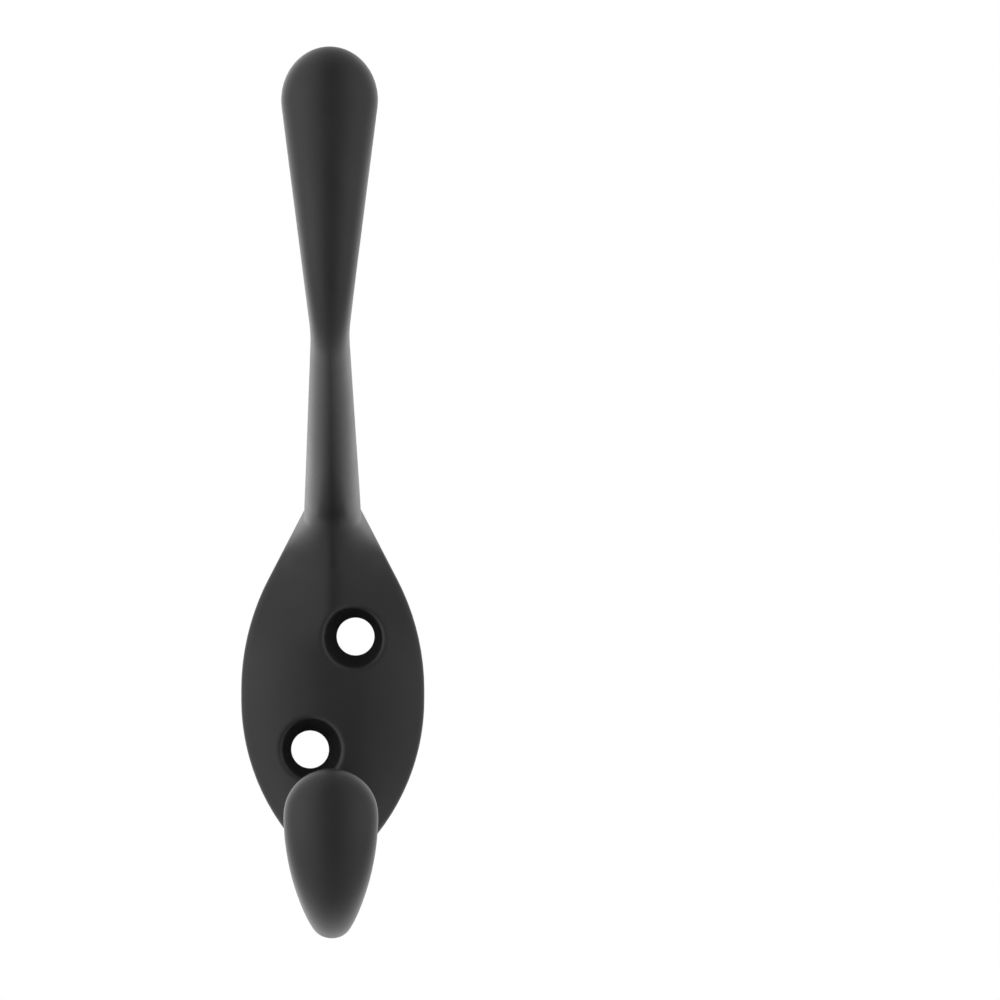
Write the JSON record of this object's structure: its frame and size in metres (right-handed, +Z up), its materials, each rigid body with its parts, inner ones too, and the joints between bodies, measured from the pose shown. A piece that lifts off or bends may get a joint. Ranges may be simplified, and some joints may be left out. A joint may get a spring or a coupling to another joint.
{
  "type": "garment hook",
  "caption": "Cast garment hook in satin black: a domed leaf-shaped wall plate with countersunk screw holes, a long upper arm with a flared round end and a short lower hook.",
  "frame": {"origin": "on the wall plane, half way between the two screw holes", "axes": "+Z up, the front faces -Y, the flat back lies on the plane y = 0 and faces +Y"},
  "size_m": [0.0266, 0.0504, 0.1278],
  "materials": {
    "black_coat": "satin"
  },
  "bodies": {
    "root": {"garment_hook": "black_coat"}
  },
  "joints": []
}
